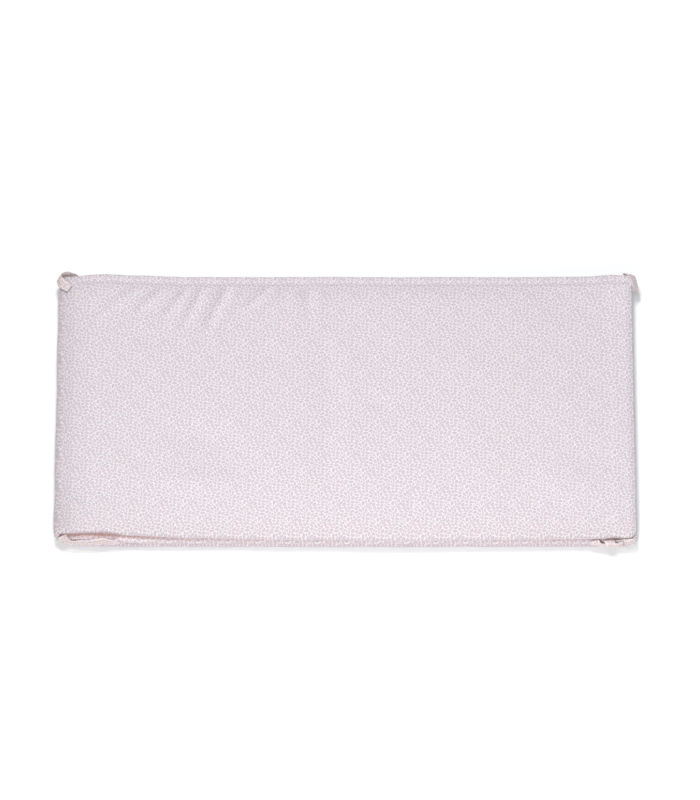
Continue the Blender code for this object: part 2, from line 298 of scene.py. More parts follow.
# unevenness in millimetres: size, cell and seed
strip["uneven"] = {
    "top": ((0.55, 74.0, 21), (0.34, 31.0, 22), (0.10, 12.0, 23)),
    "layers": ((0.16, 46.0, 31), (0.08, 19.0, 32)),
    "fold": ((0.34, 26.0, 33), (0.2, 9.0, 34)),
    "edge": ((0.30, 34.0, 71), (0.12, 11.0, 72)),
    "flange": ((0.16, 5.5, 61),),
}
strip["puckers"] = {
    "lean": 0.35,                           # how far a ripple leans as it runs in
    "leanCell": 120.0,
    "ripples": ((0.7, 0.15, 7.5), (0.3, 0.1, 3.9)),     # share, stretch and spacing
    "patches": 55.0,
    "plain": 0.45,                          # millimetres high at each edge
    "stitched": 0.62,
    "start": 4.0,
    "reach": 11.0,
    "lowerShare": 0.35,                     # of that in the layers below
}

halfLength = strip["foldedLength"] / 2
halfHeight = strip["height"] / 2
halfPad = strip["padThickness"] / 2
leftHalf = halfPad - strip["leftSqueeze"]
rightHalf = halfPad - strip["rightSqueeze"]
leftFoldX = -halfLength + 2 * leftHalf + strip["layerGap"] / 2
rightFoldX = halfLength - strip["rightFoldInset"] - 2 * rightHalf - strip["layerGap"] / 2
bottomEndX = -halfLength + strip["bottomEndInset"]


def runHalf(layer, x):  # half the thickness of a run, squeezed beside its folds
    half = np.full(np.shape(x), halfPad)
    if layer in ("top", "middle"):
        half = half - strip["leftSqueeze"] * ease(1.0 - (x - leftFoldX) / strip["leftReach"])
    if layer in ("middle", "bottom"):
        half = half - strip["rightSqueeze"] * ease(1.0 - (rightFoldX - x) / strip["rightReach"])
    return half


def runLevel(layer, x):  # height of a run's middle, each resting on the one below
    level = runHalf("bottom", x)
    if layer in ("middle", "top"):
        level = level + runHalf("bottom", x) + strip["layerGap"] + runHalf("middle", x)
    if layer == "top":
        level = level + runHalf("middle", x) + strip["layerGap"] + runHalf("top", x)
    return level


# even places, closer together at an end that has offsets
def closer(start, stop, step, startOffsets=(0.0,), stopOffsets=(0.0,)):
    way = 1.0 if stop > start else -1.0
    first, last = start + way * startOffsets[-1], stop - way * stopOffsets[-1]
    even = np.linspace(first, last, max(2, int(round(abs(last - first) / step)) + 1))
    head = [start + way * offset for offset in startOffsets[:-1]]
    tail = [stop - way * offset for offset in reversed(stopOffsets[:-1])]
    return np.array([*head, *even, *tail])


def runStations(layer, x, endX=None):
    step = mm
    slope = (runLevel(layer, x + step) - runLevel(layer, x - step)) / (2 * step)
    size = np.sqrt(1.0 + slope ** 2)
    face = -1.0 if layer == "middle" else 1.0
    count = len(x)
    sway = [readColumn(strip["sway"][layer], k, x / mm) for k in (1, 2, 3, 4)]
    return {
        "run": np.full(count, {"top": 0, "middle": 2, "bottom": 4}[layer]),
        "x": x,
        "midX": x.copy(),
        "midZ": runLevel(layer, x),
        "normX": -slope / size * face,
        "normZ": 1.0 / size * face,
        "half": runHalf(layer, x),
        "swell": np.ones(count) if endX is None else swell(np.abs(x - endX), strip["endSlope"]),
        "endX": np.full(count, np.nan if endX is None else endX),
        "sway": np.array(sway),
    }


def foldStations(above, below, x, printedOutside):
    high, low = (float(runLevel(layer, np.array([x]))[0]) for layer in (above, below))
    turn = np.arange(1, strip["foldSteps"]) / strip["foldSteps"]
    angle = math.pi * (0.5 - turn)
    side = -1.0 if printedOutside else 1.0
    outX, outZ = side * np.cos(angle), np.sin(angle)
    radius = (high - low) / 2
    face = 1.0 if printedOutside else -1.0
    before, after = (
        np.array([readColumn(strip["sway"][layer], k, np.array([x / mm]))[0] for k in (1, 2, 3, 4)])
        for layer in (above, below)
    )
    count = len(turn)
    return {
        "run": np.full(count, 1 if above == "top" else 3),
        "x": np.full(count, x),
        "midX": x + outX * radius,
        "midZ": (high + low) / 2 + outZ * radius,
        "normX": outX * face,
        "normZ": outZ * face,
        "half": np.full(count, float(runHalf(below, np.array([x]))[0])),
        "swell": np.ones(count),
        "endX": np.full(count, np.nan),
        "sway": before[:, None] + (after - before)[:, None] * turn[None, :],
    }


def stripStations():
    top = closer(halfLength, leftFoldX, strip["topStep"], startOffsets=strip["endOffsets"])
    middle = closer(leftFoldX, rightFoldX, strip["lowerStep"])
    bottom = closer(rightFoldX, bottomEndX, strip["lowerStep"], stopOffsets=strip["endOffsets"])
    parts = [
        runStations("top", top, halfLength),
        foldStations("top", "middle", leftFoldX, True),
        runStations("middle", middle),
        foldStations("middle", "bottom", rightFoldX, False),
        runStations("bottom", bottom, bottomEndX),
    ]
    found = {key: np.concatenate([part[key] for part in parts], axis=-1) for key in parts[0]}
    gone = np.hypot(np.diff(found["midX"]), np.diff(found["midZ"]))
    found["cloth"] = np.concatenate([[0.0], np.cumsum(gone)])
    return found


def stripCrossings():
    plain = strip["plainOffsets"]
    seam = strip["stitchLine"]
    stitched = [*strip["rimOffsets"], *(seam + offset for offset in strip["stitchOffsets"])]
    first, last = -halfHeight + plain[-1], halfHeight - stitched[-1]
    even = np.linspace(first, last, int(round((last - first) / strip["crossStep"])) + 1)[1:-1]
    low = [-halfHeight + offset for offset in plain]
    high = [halfHeight - offset for offset in reversed(stitched)]
    return np.array([*low, *even, *high])


def stitchedHalf(v, full):  # a puffy roll outside the stitches, then a slow rise to the full pad
    away = halfHeight - v
    past = away - strip["stitchLine"]
    rollHalf = strip["rollHalf"]
    roll = strip["rimHalf"] + (rollHalf - strip["rimHalf"]) * swell(away, strip["rollReach"])
    rise = np.sin(math.pi / 2 * np.clip(past / strip["stitchSlope"], 0.0, 1.0))
    half = np.where(past < 0.0, roll, rollHalf + (full - rollHalf) * rise)
    return half - strip["pinch"] * np.exp(-(past / strip["pinchWidth"]) ** 2)


def creaseDepth(x, y):  # troughs along the drawn creases, with a low ridge on each side
    plan = strip["creaseShape"]
    size, cell, seed = plan["wander"]
    depth = np.zeros(np.shape(x))
    for fromX, fromY, toX, toY, width, deep in strip["creases"]:
        alongX, alongY = toX - fromX, toY - fromY
        length = math.hypot(alongX, alongY)
        t = ((x - fromX) * alongX + (y - fromY) * alongY) / length ** 2
        off = ((x - fromX) * alongY - (y - fromY) * alongX) / length
        off = off + softNoise(t * length, off * 0 + fromX, cell, seed) * size
        inside = ease((t + 0.25) / 0.3) * ease((1.15 - t) / 0.6)
        shape = np.exp(-(off / (width * plan["trough"])) ** 2)
        for away in (off - width, off + width):
            shape = shape - plan["ridge"] * np.exp(-(away / (width * plan["ridgeWidth"])) ** 2)
        depth = depth + deep * inside * shape
    return depth


def topFace(x, y):  # rise of the printed face of the top run, in millimetres
    rise = hills(x, y, strip["uneven"]["top"])
    for placeX, placeY, halfX, halfY, depth in strip["hollows"]:
        away = np.hypot((x - placeX) / halfX, (y - placeY) / halfY)
        rise = rise - depth * ease(1.0 - away)
    mark = strip["foldMark"]
    markX = mark["x"] + hills(y, y * 0, (mark["wander"],))
    inside = ease((y - mark["fromY"]) / mark["fade"]) * ease((mark["toY"] - y) / mark["fade"])
    across = (x - markX) / mark["halfWidth"]
    ridge = mark["ridge"] * np.exp(-((across - mark["ridgeAway"]) * mark["narrow"]) ** 2)
    rise = rise - mark["depth"] * inside * (np.exp(-(across * mark["narrow"]) ** 2) - ridge)
    return rise - creaseDepth(x, y)


def seamPuckers(x, away, seed):  # short ripples that run in from a row of stitches
    plan = strip["puckers"]
    lean = x + away * plan["lean"] * np.sign(softNoise(x, 0 * x, plan["leanCell"], seed + 3))
    ripple = 0.0
    for k, (share, stretch, spacing) in enumerate(plan["ripples"]):
        ripple = ripple + softNoise(lean, away * stretch, spacing, seed + k) * share
    strength = np.clip(0.45 + 0.55 * softNoise(x, 0 * x, plan["patches"], seed + 2), 0.1, 1.0)
    past = np.maximum(away - plan["start"], 0.0)
    return ripple * strength * ease(away / plan["start"]) * np.exp(-past / plan["reach"])


# rise of a face over its plain shape in metres: wadding, creases, puckers
def faceDetail(stations, row, v, side):
    x, y = stations["x"][row] / mm, v / mm
    cloth = stations["cloth"][row] / mm
    run = stations["run"][row]
    top = (run == 0) & (side > 0)
    leftFold = (run == 1) & (side > 0)
    rise = np.where(top, topFace(x, y), 0.0)
    inner = hills(cloth, y, strip["uneven"]["layers"])
    rise = np.where(top, rise, inner * np.where(side > 0, 1.0, 0.7))
    rise = np.where(leftFold, hills(y, cloth, strip["uneven"]["fold"]), rise)
    awayStitched = (halfHeight - v) / mm - strip["stitchLine"] / mm
    awayPlain = (v + halfHeight) / mm
    free = np.where(top | leftFold, 1.0, strip["puckers"]["lowerShare"])
    pucker = seamPuckers(cloth, np.maximum(awayStitched, 0.0), 41) * strip["puckers"]["stitched"]
    pucker = pucker + seamPuckers(cloth, np.maximum(awayPlain, 0.0), 51) * strip["puckers"]["plain"]
    flange = (awayStitched < 0) * hills(cloth, awayStitched, strip["uneven"]["flange"])
    fullness = np.minimum(ease(awayPlain / 9.0), ease((awayStitched - 0.5) / 10.0))
    keep = np.where(awayStitched < 0, 0.0, fullness)
    blendIn = np.minimum(1.0, stations["swell"][row])
    return (rise * keep + (pucker + flange) * free) * blendIn * mm


def roundCorner(x, v, endX):
    known = ~np.isnan(endX)
    end = np.where(known, endX, 0.0)
    radius = strip["cornerRadius"]
    along = np.where(known, np.maximum(0.0, 1.0 - np.abs(end - x) / radius), 0.0)
    across = np.maximum(0.0, 1.0 - (halfHeight - np.abs(v)) / radius)
    pullX = along * (1.0 - np.sqrt(1.0 - across ** 2 / 2)) * radius
    pullV = across * (1.0 - np.sqrt(1.0 - along ** 2 / 2)) * radius
    return x - np.copysign(pullX, end), np.where(known, v - np.copysign(pullV, v), v)


# where the strip's points lie, folded, from their flat places
def stripPoints(stations, row, v, side):
    full = stations["half"][row]
    fullness = swell(v + halfHeight, strip["plainSlope"]) ** strip["plainPower"]
    plain = strip["seamHalf"] + (full - strip["seamHalf"]) * fullness
    half = np.minimum(plain, stitchedHalf(v, full))
    half = strip["rimHalf"] + (half - strip["rimHalf"]) * stations["swell"][row]
    plainRim = strip["plainRim"] * np.exp(-(v + halfHeight) / strip["plainRimWidth"])
    offset = np.maximum(half - plainRim, strip["thinnest"])
    offset = (offset + faceDetail(stations, row, v, side)) * side
    x = stations["midX"][row] + stations["normX"][row] * offset
    z = stations["midZ"][row] + stations["normZ"][row] * offset
    z = z - strip["edgeDroop"] * (full - half) * np.abs(stations["normZ"][row])
    plainIn, plainLift, stitchedOut, stitchedLift = stations["sway"][:, row]
    share = 0.5 + v / strip["height"]
    flatX, flatV = roundCorner(stations["x"][row], v, stations["endX"][row])
    x = x + flatX - stations["x"][row]
    y = flatV + (plainIn * (1.0 - share) + stitchedOut * share) * mm
    cloth = stations["cloth"][row] / mm
    edge = hills(cloth, 0 * cloth, strip["uneven"]["edge"]) * mm
    reach = strip["edgeReach"]
    y = y + edge * (ease(1.0 - (v + halfHeight) / reach) + ease(1.0 - (halfHeight - v) / reach))
    z = z + plainLift * ease(1.0 - (v + halfHeight) / strip["liftReach"]) * mm
    z = z + stitchedLift * ease(1.0 - (halfHeight - v) / strip["liftReach"]) * mm
    rise = (1.0 - (flatX / halfLength) ** 2) * (1.0 - (flatV / halfHeight) ** 2)
    top = (stations["run"][row] == 0) & (side > 0)
    z = z + np.where(top, strip["crown"] * rise, 0.0)
    z = np.maximum(z, 0.0)
    return np.column_stack([x, y, z]) + np.array(strip["shift"])


# two amounts that the cloth material reads: a painted warm shade and painted glow, standing in for
# light bounced and let through between the layers, and how much painted light the cloth loses (above 0)
# or gains; distances in millimetres
strip["warmth"] = {
    "edges": 0.14,
    "from": 1.8,            # in from an edge, where it begins to deepen
    "reach": 5.0,
    "tipFrom": 4.0,         # the same from the strip's two ends
    "tipReach": 14.0,
    # a little painted warm light along the front band
    "front": 0.06,
    "frontReach": 40.0,
    "fold": 0.05,
}
strip["shade"] = {
    "outerFold": 0.8,
    "besideFold": 0.75,
    "besideReach": 15.0,
    "stitches": 0.38,
    "stitchReach": 3.0,
    "slope": 0.4,           # a fold's far side keeps a little less light
    "creaseX": 0.25,
    "creaseY": 0.45,
    "most": 0.9,
    "nearby": 1.5,
    "clear": (8.0, 20.0, 12.0),     # how far from a seam, the left fold and the end seam
    "front": 0.40,
    "lowerFront": 0.12,
    "frontReach": 13.0,
    "endGlow": 0.3,         # paler beside the end seam, and on it
    "endAt": 15.0,
    "rimGlow": 0.9,
    "rimReach": 3.5,
}


def paintWarmShadeGlow(piece, stations, row, v, side, inFrom):
    plan = strip["warmth"]
    run, cloth = stations["run"][row], stations["cloth"][row]
    # painted warm shade and painted glow on the hidden faces, deepening in from the edges and ends
    hidden = ((run > 0) | (side < 0)) & ~((side < 0) & (run >= 3))
    fromTip = np.minimum(cloth, stations["cloth"][-1] - cloth) / mm
    deep = ease((inFrom - plan["from"]) / plan["reach"])
    deep = deep * ease((fromTip - plan["tipFrom"]) / plan["tipReach"])
    front = plan["front"] * ease(1.0 - (v + halfHeight) / mm / plan["frontReach"])
    warmth = np.where(hidden, plan["edges"] + (1.0 - plan["edges"]) * deep, front)
    setAmount(piece, "warmth", np.where((side > 0) & (run == 1), plan["fold"], warmth))


def paintShade(piece, stations, row, v, side, inFrom, fromEnd):
    plan = strip["shade"]
    run = stations["run"][row]
    onFace = (run == 0) & (side > 0)
    faceX, faceY = stations["x"][row] / mm, v / mm
    fromFold = faceX - leftFoldX / mm
    besideSeam = ease(1.0 - np.abs(inFrom - strip["stitchLine"] / mm) / plan["stitchReach"]) * (v > 0)
    shade = np.where((side > 0) & (run == 1), plan["outerFold"], 0.0)
    shade = np.maximum(shade, plan["besideFold"] * ease(1.0 - fromFold / plan["besideReach"]) * onFace)
    shade = np.maximum(shade, plan["stitches"] * besideSeam)
    near = plan["nearby"]
    slope = (topFace(faceX + near, faceY) - topFace(faceX - near, faceY)) * plan["slope"]
    creaseX = creaseDepth(faceX + near, faceY) - creaseDepth(faceX - near, faceY)
    creaseY = creaseDepth(faceX, faceY + near) - creaseDepth(faceX, faceY - near)
    slope = slope - creaseX * plan["creaseX"] + creaseY * plan["creaseY"]
    seamClear, foldClear, endClear = plan["clear"]
    inner = ease(inFrom / seamClear - 1.0) * ease(fromFold / foldClear) * ease(fromEnd / endClear)
    shade = shade - np.clip(slope, -plan["most"], plan["most"]) * onFace * inner
    front = ease(1.0 - (v + halfHeight) / mm / plan["frontReach"])
    shade = shade + np.where(onFace, plan["front"], plan["lowerFront"]) * front
    besideEnd = ease(1.0 - np.abs(fromEnd - plan["endAt"]) / plan["endAt"])
    shade = shade - plan["endGlow"] * besideEnd * onFace
    setAmount(piece, "shade", shade - plan["rimGlow"] * ease(1.0 - fromEnd / plan["rimReach"]))


def makeStrip():
    stations, crossings = stripStations(), stripCrossings()
    piece, row, column, side = addSlab("bumperStrip", len(stations["x"]), len(crossings))
    v = crossings[column]
    rim = np.abs(side) < 0.5
    tuck = strip["tuck"]
    v = np.where(rim, v - np.copysign(tuck, v) * (np.abs(v) > halfHeight - tuck), v)
    places = stripPoints(stations, row, v, side)
    ends = rim & ((row == 0) | (row == len(stations["x"]) - 1))
    places[:, 0] = places[:, 0] - np.where(ends, np.copysign(tuck, places[:, 0]), 0.0)
    setPlaces(piece, places)
    otherCover = np.where(side < 0, strip["coverStep"], 0.0)
    setClothMap(piece, crossings[column] + otherCover, stations["cloth"][row])
    inFrom = np.minimum(v + halfHeight, halfHeight - v) / mm
    fromEnd = np.abs(places[:, 0] - (halfLength + strip["shift"][0])) / mm
    paintWarmShadeGlow(piece, stations, row, v, side, inFrom)
    paintShade(piece, stations, row, v, side, inFrom, fromEnd)
    smooth(piece)
    print("padded strip folded:", len(piece.data.polygons), "faces")
    return piece, stations


bumperStrip, stripPath = makeStrip()


# the row of stitches along the strip's upper edge

stitches = {
    "pitch": 0.0033,
    "length": 0.0024,
    "width": 0.00050,
    "height": 0.00034,
    "sink": 0.00006,        # into the cloth
    "taper": 0.22,          # of its length at each end
}


def makeStitch(size):  # one stitch: a small bar, thinner at its ends
    deselectAll()
    bpy.ops.mesh.primitive_cylinder_add(vertices=6, radius=0.5, depth=1.0)
    stitch = bpy.context.object
    editAll(stitch, bpy.ops.mesh.bevel, offset=size["taper"], segments=1, affect="EDGES")
    points = np.array([vertex.co for vertex in stitch.data.vertices])
    faces = [tuple(face.vertices) for face in stitch.data.polygons]
    bpy.data.objects.remove(stitch)
    points = points[:, [2, 0, 1]] * np.array([size["length"], size["width"], size["height"]])
    return points, faces


# copies of one stitch along a line: centre, direction, width direction and outward
def sewRow(name, size, centres, along, across, out):
    points, faces = makeStitch(size)
    count = len(points)
    places, polygons = [], []
    for i in range(len(centres)):
        local = points[:, :1] * along[i] + points[:, 1:2] * across[i] + points[:, 2:3] * out[i]
        places.append(centres[i] + local)
        polygons += [tuple(k + i * count for k in face) for face in faces]
    mesh = bpy.data.meshes.new(name)
    mesh.from_pydata(np.concatenate(places).tolist(), [], polygons)
    piece = bpy.data.objects.new(name, mesh)
    bpy.context.scene.collection.objects.link(piece)
    editAll(piece, bpy.ops.mesh.normals_make_consistent, inside=False)
    smooth(piece)
    return piece


def stitchLine(side):
    total = stripPath["cloth"][-1]
    count = int((total - 2 * strip["stitchLine"]) / stitches["pitch"])
    at = strip["stitchLine"] + stitches["pitch"] * (np.arange(count) + 0.5)
    index = np.searchsorted(stripPath["cloth"], at) - 1
    low, high = stripPath["cloth"][index], stripPath["cloth"][index + 1]
    t = ((at - low) / (high - low))[:, None]
    v = np.full(count, halfHeight - strip["stitchLine"])
    faces = np.full(count, float(side))
    first, second = (stripPoints(stripPath, index + k, v, faces) for k in (0, 1))
    inside = stripPoints(stripPath, index, v, -faces)
    centres = first * (1 - t) + second * t
    along = second - first
    along = along / np.linalg.norm(along, axis=1)[:, None]
    out = first - inside
    out = out - along * np.einsum("ij,ij->i", out, along)[:, None]
    out = out / np.linalg.norm(out, axis=1)[:, None]
    across = np.cross(out, along)
    return centres + out * (stitches["height"] / 2 - stitches["sink"]), along, across, out


frontRow, backRow = stitchLine(1), stitchLine(-1)
bothRows = [np.concatenate(pair) for pair in zip(frontRow, backRow)]
topStitches = sewRow("topStitches", stitches, *bothRows)
print("stitches sewn:", len(frontRow[0]) * 2)


# the ties

tie = {
    "width": 0.0100,
    "thickness": 0.0010,
    "step": 0.0008,
    "lines": 13,
    "hem": 0.0016,          # from an edge to the groove beside its hem
    "groove": 0.00012,
    "hemWidth": 0.0003,
    "bow": 0.0005,          # how far the middle stands out from the edges
    "narrowed": 0.00005,    # the middle of an edge lies a little inside
    "crease": 0.0004,       # depth of the soft folds that run along it
    "folds": ((0.28, 0.13, 1.0), (-0.34, 0.15, 0.8)),   # across the width: middle, reach and share
    "drift": 0.25,          # how far they stray
    "wave": 0.00022,
    "unevenWidth": 0.02,
    # painted warm shade and painted glow on the whole tie, more in its soft folds, where painted shade
    # darkens it too
    "warmth": 0.12,
    "foldWarmShadeGlow": 0.5,
    "foldShade": 0.9,
}
# x, y, z of the middle line in millimetres, then the width's direction
tie["routes"] = {
    "tie_back_left": (                      # up behind the corner, over and down across it
        (-279.8, 153.9, 13.6, 0.00, 0.30, 0.95),
        (-283.6, 154.9, 16.0, 0.00, 0.38, 0.92),
        (-287.6, 155.3, 17.8, 0.00, 0.40, 0.92),
        (-291.6, 155.0, 20.2, 0.06, 0.30, 0.94),
        (-296.0, 152.9, 22.9, 0.22, 0.12, 0.96),
        (-298.0, 148.8, 25.0, 0.50, 0.14, 0.85),
        (-297.1, 145.0, 26.2, 0.62, 0.34, 0.70),
        (-295.2, 142.2, 26.8, 0.66, 0.62, 0.42),
        (-292.4, 139.9, 27.3, 0.62, 0.76, 0.18),
        (-289.2, 137.8, 27.6, 0.60, 0.80, 0.05),
        (-286.4, 136.0, 27.6, 0.60, 0.80, 0.00),
    ),
    "tie_back_right": (                     # round the corner and along the end
        (290.6, 154.6, 20.8, 0.0, 0.02, 1.0),
        (293.0, 154.8, 21.6, -0.15, -0.12, 0.95),
        (295.6, 154.2, 22.4, -0.36, -0.36, 0.86),
        (298.7, 152.0, 23.0, -0.60, -0.46, 0.65),
        (300.6, 148.4, 23.1, -0.66, -0.20, 0.72),
        (301.6, 144.6, 22.6, -0.64, -0.04, 0.77),
        (302.2, 141.0, 21.8, -0.60, 0.00, 0.80),
        (302.6, 137.6, 21.0, -0.54, 0.02, 0.84),
        (302.8, 134.4, 20.2, -0.44, 0.04, 0.90),
    ),
    "tie_front_left": (                     # out of the gap, hanging in front of the folds
        (-290.0, -144.0, 20.6, 0.96, -0.12, 0.16),
        (-288.4, -146.8, 19.9, 0.90, -0.15, 0.38),
        (-285.0, -149.0, 18.0, 0.70, -0.10, 0.70),
        (-280.4, -149.7, 16.0, 0.45, 0.00, 0.90),
        (-274.5, -149.7, 15.4, 0.20, 0.08, 1.0),
        (-268.0, -149.9, 16.2, 0.05, 0.16, 1.0),
        (-261.5, -150.2, 17.4, -0.05, 0.20, 1.0),
        (-255.5, -150.1, 18.8, -0.08, 0.26, 1.0),
        (-250.5, -149.8, 19.8, -0.08, 0.28, 0.97),
        (-246.2, -149.5, 19.8, 0.05, 0.22, 1.0),
        (-242.6, -150.0, 19.0, 0.15, 0.14, 0.97),
        (-239.0, -150.5, 18.6, 0.08, 0.10, 1.0),
        (-235.2, -150.4, 19.2, -0.06, 0.10, 1.0),
        (-231.4, -149.9, 20.0, -0.15, 0.12, 1.0),
    ),
    "tie_front_right_outer": (              # out of the gap, along the folds, round the end
        (255.0, -147.2, 18.6, 1.00, -0.08, 0.02),
        (256.6, -149.7, 18.1, 0.96, -0.24, 0.12),
        (259.6, -151.2, 16.2, 0.76, -0.22, 0.56),
        (264.0, -151.5, 13.8, 0.42, -0.08, 0.90),
        (269.0, -151.0, 12.9, 0.18, 0.05, 1.0),
        (274.5, -150.6, 13.8, 0.05, 0.15, 1.0),
        (281.0, -150.3, 16.6, -0.05, 0.26, 0.95),
        (287.0, -150.2, 17.7, 0.00, 0.28, 0.95),
        (292.4, -149.7, 17.8, -0.03, 0.24, 0.97),
        (297.0, -147.7, 17.6, -0.08, 0.10, 1.0),
        (299.7, -144.0, 17.2, -0.08, 0.0, 1.0),
    ),
    "tie_front_right_inner": (              # a short end over the first
        (269.6, -147.4, 19.2, 1.00, 0.00, 0.02),
        (270.6, -149.6, 19.8, 1.00, -0.02, 0.03),
        (272.2, -152.0, 20.3, 0.96, -0.10, 0.16),
        (274.8, -153.7, 19.6, 0.72, -0.10, 0.66),
        (278.2, -153.9, 18.8, 0.30, 0.05, 0.94),
        (281.6, -153.2, 18.8, 0.08, 0.20, 0.96),
        (285.0, -152.6, 19.0, 0.00, 0.25, 0.96),
    ),
}


def smoothRoute(rows, step):  # a curve through the route's points, cut into even steps
    values = np.array(rows, float)
    values[:, :3] *= mm
    padded = np.vstack([values[0], values, values[-1]])
    fine = []
    for i in range(len(values) - 1):
        a, b, c, d = padded[i:i + 4]
        for t in np.linspace(0.0, 1.0, 16, endpoint=False):
            fine.append(0.5 * (2 * b + (c - a) * t + (2 * a - 5 * b + 4 * c - d) * t ** 2
                               + (3 * b - a - 3 * c + d) * t ** 3))
    fine.append(values[-1])
    fine = np.array(fine)
    gone = np.concatenate([[0.0], np.cumsum(np.linalg.norm(np.diff(fine[:, :3], axis=0), axis=1))])
    at = np.linspace(0.0, gone[-1], int(round(gone[-1] / step)) + 1)
    return np.column_stack([np.interp(at, gone, fine[:, k]) for k in range(6)]), at


def unit(vectors):
    return vectors / np.linalg.norm(vectors, axis=1)[:, None]


def makeTie(node, rows, index):
    route, at = smoothRoute(rows, tie["step"])
    name = node.split("_")
    name = name[0] + "".join(word.capitalize() for word in name[1:])
    piece, row, column, side = addSlab(name, len(route), tie["lines"])
    along = unit(np.gradient(route[:, :3], axis=0))
    width = route[:, 3:]
    width = unit(width - along * np.einsum("ij,ij->i", width, along)[:, None])
    out = np.cross(along, width)
    share = column / (tie["lines"] - 1) * 2.0 - 1.0          # -1 and 1 at the edges
    s = at[row] / mm
    half = tie["thickness"] / 2 * np.sqrt(np.clip(1.0 - np.abs(share) ** 8, 0.02, 1.0))
    fromHem = (1.0 - np.abs(share)) * tie["width"] / 2 - tie["hem"]
    groove = tie["groove"] * np.exp(-fromHem ** 2 / tie["hemWidth"] ** 2)
    wave = softNoise(s, share * 3.0, 5.0, 81 + index) * tie["wave"]
    drift = tie["drift"] * softNoise(s, 0 * s, 14.0, 101 + index)
    folds = 0.0
    for middle, reach, part in tie["folds"]:
        folds = folds + part * np.exp(-((share - middle - drift) / reach) ** 2)
    bow = tie["bow"] * (0.5 - share ** 2) + wave - tie["crease"] * folds
    wider = tie["unevenWidth"] * softNoise(s, 0 * s, 6.0, 91 + index)
    across = share * tie["width"] / 2 * (1.0 + wider)
    across = across - np.where(np.abs(side) < 0.5, np.sign(share) * tie["narrowed"], 0.0)
    places = route[row, :3] + width[row] * across[:, None]
    places = places + out[row] * (side * (half - groove) + bow)[:, None]
    setPlaces(piece, places + np.array(strip["shift"]))
    setClothMap(piece, share * tie["width"] / 2 + 0.02 * index, at[row] + 0.031 * index)
    # painted warm shade and glow, and painted shade, strongest in the soft folds
    setAmount(piece, "warmth", tie["warmth"] + tie["foldWarmShadeGlow"] * folds)
    setAmount(piece, "shade", tie["foldShade"] * folds)
    smooth(piece)
    return piece, float(at[-1])


ties = {}
for index, (node, rows) in enumerate(tie["routes"].items()):
    ties[node] = makeTie(node, rows, index)
print("ties laid:", ", ".join(f"{node} {length / mm:.0f} mm" for node, (piece, length) in ties.items()))


# materials

def addNode(tree, kind, **settings):
    node = tree.nodes.new(kind)
    for key, value in settings.items():
        setattr(node, key, value)
    return node


def feed(tree, socket, value):
    if isinstance(value, bpy.types.NodeSocket):
        tree.links.new(value, socket)
    else:
        socket.default_value = value


def sums(tree, operation, *values):
    node = addNode(tree, "ShaderNodeMath", operation=operation)
    for socket, value in zip(node.inputs, values):
        feed(tree, socket, value)
    return node.outputs[0]


def vectors(tree, operation, *values):
    node = addNode(tree, "ShaderNodeVectorMath", operation=operation)
    for socket, value in zip(node.inputs, values):
        feed(tree, socket, value)
    return node.outputs[1 if operation == "LENGTH" else 0]


def blendColours(tree, amount, first, second, mode="MIX"):
    node = addNode(tree, "ShaderNodeMix", data_type="RGBA", blend_type=mode)
    feed(tree, node.inputs["Factor"], amount)
    feed(tree, node.inputs[6], first)
    feed(tree, node.inputs[7], second)
    return node.outputs[2]


def spread(tree, value, low, high, toLow=0.0, toHigh=1.0):
    node = addNode(tree, "ShaderNodeMapRange", interpolation_type="SMOOTHSTEP")
    keys = ("Value", "From Min", "From Max", "To Min", "To Max")
    for key, item in zip(keys, (value, low, high, toLow, toHigh)):
        feed(tree, node.inputs[key], item)
    return node.outputs["Result"]


def newGroup(name, takes, gives):
    group = bpy.data.node_groups.new(name, "ShaderNodeTree")
    for label, kind, value in takes:
        socket = group.interface.new_socket(name=label, in_out="INPUT", socket_type=kind)
        if value is not None:
            socket.default_value = value
    for label, kind in gives:
        group.interface.new_socket(name=label, in_out="OUTPUT", socket_type=kind)
    return group, group.nodes.new("NodeGroupInput"), group.nodes.new("NodeGroupOutput")


def useGroup(tree, group, **values):
    node = addNode(tree, "ShaderNodeGroup", node_tree=group)
    for key, value in values.items():
        feed(tree, node.inputs[key], value)
    return node


# a small leaf and berry design of my own, stepped half across at each rise; sizes in millimetres
leafDesign = {
    "across": 30.4,
    "rise": 18.4,
    "leaves": 38,
    "berries": 4,
    "halfLength": 2.75,
    "halfWidth": 1.38,
    "berry": 0.85,
    "sizes": (0.72, 1.22),
    "plumpness": (0.85, 1.15),
    "gap": 0.42,            # ground kept between neighbours
    "rounds": 160,
    "firstNudge": 1.6,
    "lastNudge": 0.08,
    "seed": 23,
    "edge": 0.22,           # softness of a mark's outline
    "rib": 0.38,            # how pale its middle is
    "ribFrom": 0.74,
    "ribTo": 0.94,
    "ground": (0.745, 0.716, 0.752),
    "mauve": (0.548, 0.482, 0.535),
    "pink": (0.572, 0.486, 0.530),
    "tan": (0.520, 0.440, 0.440),
}


def wrapToCell(plan, x, y):
    row = np.round(y / plan["rise"])
    x, y = x - row * plan["across"] / 2, y - row * plan["rise"]
    return x - np.round(x / plan["across"]) * plan["across"], y


def beads(marks):  # a mark as five discs along its rib: x, y, radius
    t = np.array([-0.78, -0.42, 0.0, 0.42, 0.78])
    x = marks[..., 0:1] + t * marks[..., 3:4] * np.cos(marks[..., 2:3])
    y = marks[..., 1:2] + t * marks[..., 3:4] * np.sin(marks[..., 2:3])
    return x, y, marks[..., 4:5] * (1.0 - t ** 2)


def crowding(plan, mark, others):
    x, y, radius = beads(mark)
    otherX, otherY, otherRadius = beads(others)
    offX, offY = otherX[:, None, :] - x[None, :, None], otherY[:, None, :] - y[None, :, None]
    offX, offY = wrapToCell(plan, offX, offY)
    near = otherRadius[:, None, :] + radius[None, :, None] + plan["gap"] - np.hypot(offX, offY)
    return (np.maximum(near, 0.0) ** 2).sum()


